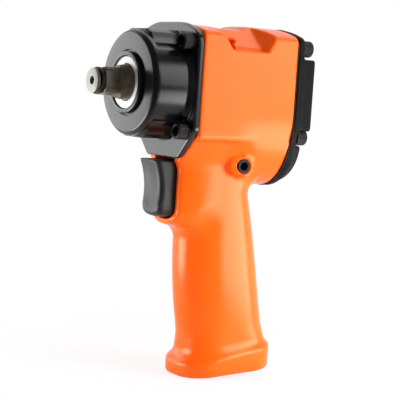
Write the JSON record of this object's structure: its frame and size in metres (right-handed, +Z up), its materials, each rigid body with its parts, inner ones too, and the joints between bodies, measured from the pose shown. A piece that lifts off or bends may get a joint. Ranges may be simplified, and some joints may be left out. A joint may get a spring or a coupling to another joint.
{
  "type": "air impact wrench",
  "caption": "Pistol-grip air impact wrench: painted housing with grip and foot, dark hammer case, square drive, sprung trigger and reversing knob.",
  "frame": {"origin": "on the air inlet's axis, at its mouth in the foot", "axes": "+X forward along the drive, +Y to the tool's left, +Z up along the inlet, away from the foot"},
  "size_m": [0.1231, 0.056, 0.1834],
  "materials": {
    "orange_paint": "gloss paint on an aluminium casting",
    "black_case": "satin black coating on an aluminium casting",
    "black_cover": "satin black coating on an aluminium casting",
    "black_screws": "black oxide",
    "anvil_steel": "hardened and oiled, brown tint",
    "bright_steel": "polished",
    "ground_steel": "ground",
    "liner_iron": "honed",
    "spring_steel": "drawn wire",
    "black_ring": "black oxide spring steel",
    "brass": "turned",
    "inlet_steel": "zinc plated",
    "spool_steel": "ground",
    "vane_resin": "fibre reinforced resin",
    "trigger_plastic": "moulded, fine grain",
    "knob_plastic": "moulded",
    "seal_rubber": "moulded",
    "gasket": "pressed sheet",
    "felt": "pressed felt"
  },
  "bodies": {
    "tool_body": {"motor_housing": "orange_paint", "hammer_case": "black_case", "front_gasket": "gasket", "rear_gasket": "gasket", "rear_cover": "black_cover", "front_screws": "black_screws", "rear_screws": "black_screws", "front_washers": "black_screws", "rear_washers": "black_screws", "anvil_bush": "bright_steel", "thrust_washer": "brass", "cylinder_liner": "liner_iron", "front_end_plate": "ground_steel", "rear_end_plate": "ground_steel", "liner_dowel": "bright_steel", "front_bearing_outer": "bright_steel", "rear_bearing_outer": "bright_steel", "inlet_bush": "inlet_steel", "inlet_seal": "seal_rubber", "inlet_screen": "ground_steel", "valve_seat": "brass", "valve_spring": "spring_steel", "rod_bush": "brass", "trigger_spring": "spring_steel", "reverse_bush": "brass", "detent_ball": "bright_steel", "detent_spring": "spring_steel", "exhaust_deflector": "knob_plastic", "exhaust_silencer": "felt", "side_plugs": "black_screws", "side_plug_seals": "seal_rubber"},
    "rotor_group": {"rotor": "ground_steel", "rotor_vanes": "vane_resin", "hammer_cage": "ground_steel", "hammer_pins": "bright_steel", "front_bearing_inner": "bright_steel", "rear_bearing_inner": "bright_steel"},
    "bearing_balls": {"front_bearing_balls": "bright_steel", "rear_bearing_balls": "bright_steel"},
    "dog": {"hammer_dog": "ground_steel"},
    "anvil_group": {"anvil": "anvil_steel", "friction_ring": "black_ring", "anvil_oring": "seal_rubber"},
    "trigger_group": {"trigger": "trigger_plastic", "trigger_rod": "bright_steel", "rod_clip": "ground_steel"},
    "throttle": {"throttle_valve": "brass", "valve_pad": "seal_rubber"},
    "reverse_group": {"reverse_spool": "spool_steel", "reverse_knob": "knob_plastic", "knob_screw": "black_screws", "spool_oring": "seal_rubber"}
  },
  "joints": [
    {"name": "rotor_spin", "type": "hinge", "parent": "tool_body", "child": "rotor_group", "pos_m": [0, 0, 0.147], "axis": [1, 0, 0], "continuous": true},
    {"name": "ball_orbit", "type": "hinge", "parent": "tool_body", "child": "bearing_balls", "pos_m": [0, 0, 0.147], "axis": [1, 0, 0], "continuous": true},
    {"name": "anvil_spin", "type": "hinge", "parent": "tool_body", "child": "anvil_group", "pos_m": [0.05, 0, 0.147], "axis": [1, 0, 0], "continuous": true},
    {"name": "dog_rock", "type": "hinge", "parent": "rotor_group", "child": "dog", "pos_m": [0.035, 0, 0.1645], "axis": [1, 0, 0], "range_deg": [-4, 4]},
    {"name": "trigger_pull", "type": "slide", "parent": "tool_body", "child": "trigger_group", "axis": [-1, 0, 0], "range_m": [0, 0.006], "stiffness_N_per_m": 1000, "springref_m": -0.008, "deforming": ["trigger_spring"]},
    {"name": "throttle_tilt", "type": "hinge", "parent": "tool_body", "child": "throttle", "pos_m": [0.0066, 0, 0.0563], "axis": [0, 1, 0], "range_deg": [-9.5, 0], "deforming": ["valve_spring"]},
    {"name": "reverse_turn", "type": "hinge", "parent": "tool_body", "child": "reverse_group", "pos_m": [-0.03, 0, 0.112], "axis": [1, 0, 0], "range_deg": [-40, 40]}
  ],
  "couplings": [
    {"joint": "anvil_spin", "follows": "rotor_spin", "ratio": 1},
    {"joint": "ball_orbit", "follows": "rotor_spin", "ratio": 0.40313},
    {"joint": "throttle_tilt", "follows": "trigger_pull", "rad_per_m": -27.05}
  ]
}
